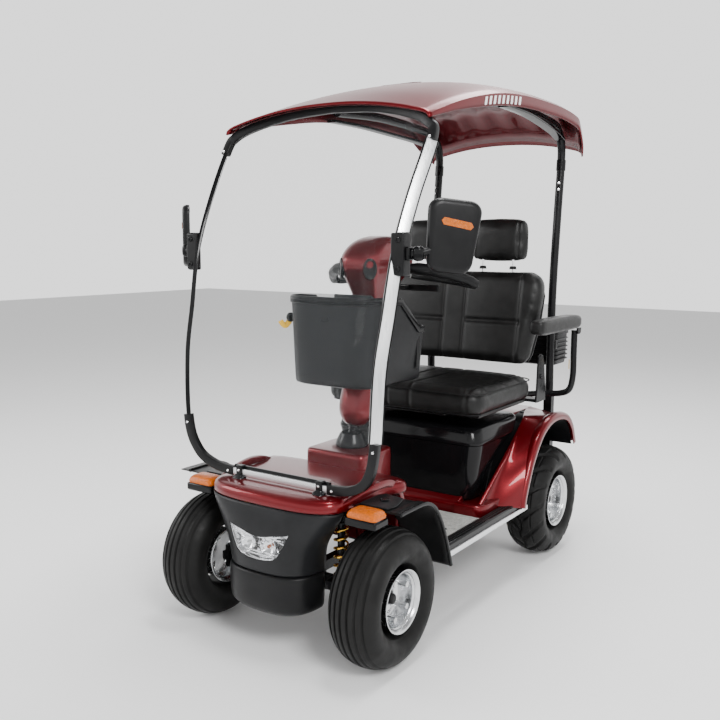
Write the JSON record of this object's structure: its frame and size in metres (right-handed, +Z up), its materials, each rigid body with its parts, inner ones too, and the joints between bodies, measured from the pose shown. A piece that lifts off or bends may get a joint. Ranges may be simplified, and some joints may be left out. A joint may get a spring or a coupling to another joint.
{
  "type": "mobility scooter",
  "caption": "Four-wheel mobility scooter with a roof and windshield, a wide padded seat, tiller steering, sprung axles, baskets, mirrors and lamps.",
  "frame": {"origin": "on the ground, at the bottom centre of the whole scooter's box", "axes": "+Z up, -Y forward in the direction of travel, +X to the driver's left"},
  "size_m": [1.0888, 1.685, 1.755],
  "materials": {
    "red_paint": "dark red metallic gloss paint over moulded panels",
    "black_plastic": "black moulded plastic, satin",
    "grey_plastic": "dark grey textured plastic",
    "black_steel": "black powder-coated steel",
    "silver_aluminium": "brushed anodised aluminium",
    "wheel_rim": "silver painted wheel rim",
    "tyre_rubber": "black tyre rubber",
    "soft_rubber": "black rubber boot",
    "grip_rubber": "black grip over a steel bar",
    "floor_mat": "light grey ribbed rubber mat",
    "black_leather": "black upholstery leather, satin",
    "gold_spring": "gold lacquered spring steel",
    "amber_lens": "orange indicator lens over a black housing",
    "clear_lens": "clear moulded lamp lens",
    "clear_sheet": "clear polycarbonate sheet",
    "battery_case": "dark grey battery case",
    "yellow_plastic": "yellow plastic lever"
  },
  "bodies": {
    "chassis": {"chassis_frame": "black_steel", "floor_pan": "black_plastic", "floor_mat": "floor_mat", "front_cowl": "red_paint", "front_panel": "grey_plastic", "front_bumper": "black_plastic", "headlight_lens": "clear_lens", "rear_body": "red_paint", "battery_box": "black_plastic", "battery_box_lid": "black_plastic", "battery_pack": "battery_case", "windshield": "clear_sheet", "windshield_lower_frame": "black_plastic", "windshield_top_rail": "black_plastic", "roof": "red_paint", "rear_basket": "black_plastic", "tiller_boot": "soft_rubber", "front_fender_left": "grey_plastic", "front_fender_right": "grey_plastic", "indicator_left": "amber_lens", "indicator_right": "amber_lens", "running_board_left": "black_plastic", "running_board_right": "black_plastic", "windshield_upright_left": "silver_aluminium", "windshield_upright_right": "silver_aluminium", "roof_post_left": "black_steel", "roof_post_right": "black_steel"},
    "tiller_hinge": {"tiller_yoke": "black_steel"},
    "tiller": {"tiller_cover": "red_paint", "tiller_head": "red_paint", "handlebar": "grip_rubber", "front_basket": "grey_plastic"},
    "throttle": {"throttle_lever": "black_plastic"},
    "dial": {"speed_dial": "black_plastic"},
    "rear_suspension": {"rear_axle": "black_steel"},
    "freewheel": {"freewheel_lever": "yellow_plastic"},
    "seat": {"seat_frame": "black_steel", "seat_cushion": "black_leather"},
    "seat_back": {"backrest": "black_leather"},
    "front_arm_left": {"front_arm_left": "black_steel", "front_spring_left": "gold_spring"},
    "knuckle_left": {"knuckle_left": "black_steel"},
    "wheel_front_left": {"tyre_front_left": "tyre_rubber", "rim_front_left": "wheel_rim"},
    "wheel_rear_left": {"tyre_rear_left": "tyre_rubber", "rim_rear_left": "wheel_rim"},
    "headrest_left": {"headrest_left": "black_leather"},
    "armrest_left": {"armrest_left": "black_plastic"},
    "mirror_left": {"mirror_left": "black_plastic"},
    "front_arm_right": {"front_arm_right": "black_steel", "front_spring_right": "gold_spring"},
    "knuckle_right": {"knuckle_right": "black_steel"},
    "wheel_front_right": {"tyre_front_right": "tyre_rubber", "rim_front_right": "wheel_rim"},
    "wheel_rear_right": {"tyre_rear_right": "tyre_rubber", "rim_rear_right": "wheel_rim"},
    "headrest_right": {"headrest_right": "black_leather"},
    "armrest_right": {"armrest_right": "black_plastic"},
    "mirror_right": {"mirror_right": "black_plastic"}
  },
  "joints": [
    {"name": "tiller_tilt", "type": "hinge", "parent": "chassis", "child": "tiller_hinge", "pos_m": [0, -0.3445, 0.531], "axis": [1, 0, 0], "range_deg": [-10, 8]},
    {"name": "tiller_steer", "type": "hinge", "parent": "tiller_hinge", "child": "tiller", "pos_m": [0, -0.3445, 0.531], "axis": [0, 0.2538, 0.9673], "range_deg": [-30, 30]},
    {"name": "throttle_swing", "type": "hinge", "parent": "tiller", "child": "throttle", "pos_m": [0, -0.0305, 1.04], "axis": [0, 0, 1], "range_deg": [-12, 12], "stiffness_Nm_per_rad": 0.8},
    {"name": "speed_dial_turn", "type": "hinge", "parent": "tiller", "child": "dial", "pos_m": [0, -0.0975, 1.179], "axis": [0, 0.5281, 0.8492], "range_deg": [-135, 135]},
    {"name": "rear_swing_arm", "type": "hinge", "parent": "chassis", "child": "rear_suspension", "pos_m": [0, 0.2075, 0.212], "axis": [1, 0, 0], "range_deg": [-3, 4], "stiffness_Nm_per_rad": 20000},
    {"name": "freewheel_turn", "type": "hinge", "parent": "rear_suspension", "child": "freewheel", "pos_m": [0.068, 0.5175, 0.262], "axis": [1, 0, 0], "range_deg": [0, 30]},
    {"name": "front_suspension_left", "type": "hinge", "parent": "chassis", "child": "front_arm_left", "pos_m": [0.1, -0.6425, 0.2], "axis": [0, -1, 0], "range_deg": [-3, 3], "stiffness_Nm_per_rad": 8000, "deforming": ["front_spring_left"]},
    {"name": "steering_knuckle_left", "type": "hinge", "parent": "front_arm_left", "child": "knuckle_left", "pos_m": [0.235, -0.6425, 0.2], "axis": [0, 0, 1], "range_deg": [-20, 20]},
    {"name": "front_wheel_spin_left", "type": "hinge", "parent": "knuckle_left", "child": "wheel_front_left", "pos_m": [0.3225, -0.6425, 0.2], "axis": [1, 0, 0], "continuous": true},
    {"name": "rear_wheel_spin_left", "type": "hinge", "parent": "rear_suspension", "child": "wheel_rear_left", "pos_m": [0.324, 0.4945, 0.208], "axis": [1, 0, 0], "continuous": true},
    {"name": "armrest_lift_left", "type": "hinge", "parent": "seat", "child": "armrest_left", "pos_m": [0.405, 0.5725, 0.86], "axis": [-1, 0, 0], "range_deg": [0, 90]},
    {"name": "mirror_swivel_left", "type": "hinge", "parent": "chassis", "child": "mirror_left", "pos_m": [0.425, -0.6465, 1.168], "axis": [0, 0, 1], "range_deg": [-20, 20]},
    {"name": "front_suspension_right", "type": "hinge", "parent": "chassis", "child": "front_arm_right", "pos_m": [-0.1, -0.6425, 0.2], "axis": [0, 1, 0], "range_deg": [-3, 3], "stiffness_Nm_per_rad": 8000, "deforming": ["front_spring_right"]},
    {"name": "steering_knuckle_right", "type": "hinge", "parent": "front_arm_right", "child": "knuckle_right", "pos_m": [-0.235, -0.6425, 0.2], "axis": [0, 0, 1], "range_deg": [-20, 20]},
    {"name": "front_wheel_spin_right", "type": "hinge", "parent": "knuckle_right", "child": "wheel_front_right", "pos_m": [-0.3225, -0.6425, 0.2], "axis": [1, 0, 0], "continuous": true},
    {"name": "rear_wheel_spin_right", "type": "hinge", "parent": "rear_suspension", "child": "wheel_rear_right", "pos_m": [-0.324, 0.4945, 0.208], "axis": [1, 0, 0], "continuous": true},
    {"name": "armrest_lift_right", "type": "hinge", "parent": "seat", "child": "armrest_right", "pos_m": [-0.405, 0.5725, 0.86], "axis": [-1, 0, 0], "range_deg": [0, 90]},
    {"name": "mirror_swivel_right", "type": "hinge", "parent": "chassis", "child": "mirror_right", "pos_m": [-0.425, -0.6465, 1.168], "axis": [0, 0, 1], "range_deg": [-20, 20]},
    {"name": "seat_slide", "type": "slide", "parent": "chassis", "child": "seat", "axis": [0, -1, 0], "range_m": [0, 0.06]},
    {"name": "backrest_recline", "type": "hinge", "parent": "seat", "child": "seat_back", "pos_m": [0, 0.4175, 0.7], "axis": [1, 0, 0], "range_deg": [-10, 15]},
    {"name": "headrest_slide_left", "type": "slide", "parent": "seat_back", "child": "headrest_left", "axis": [0, 0, 1], "range_m": [-0.018, 0.06]},
    {"name": "headrest_slide_right", "type": "slide", "parent": "seat_back", "child": "headrest_right", "axis": [0, 0, 1], "range_m": [-0.018, 0.06]}
  ],
  "couplings": [
    {"joint": "steering_knuckle_left", "follows": "tiller_steer", "ratio": 0.66},
    {"joint": "steering_knuckle_right", "follows": "tiller_steer", "ratio": 0.66}
  ]
}
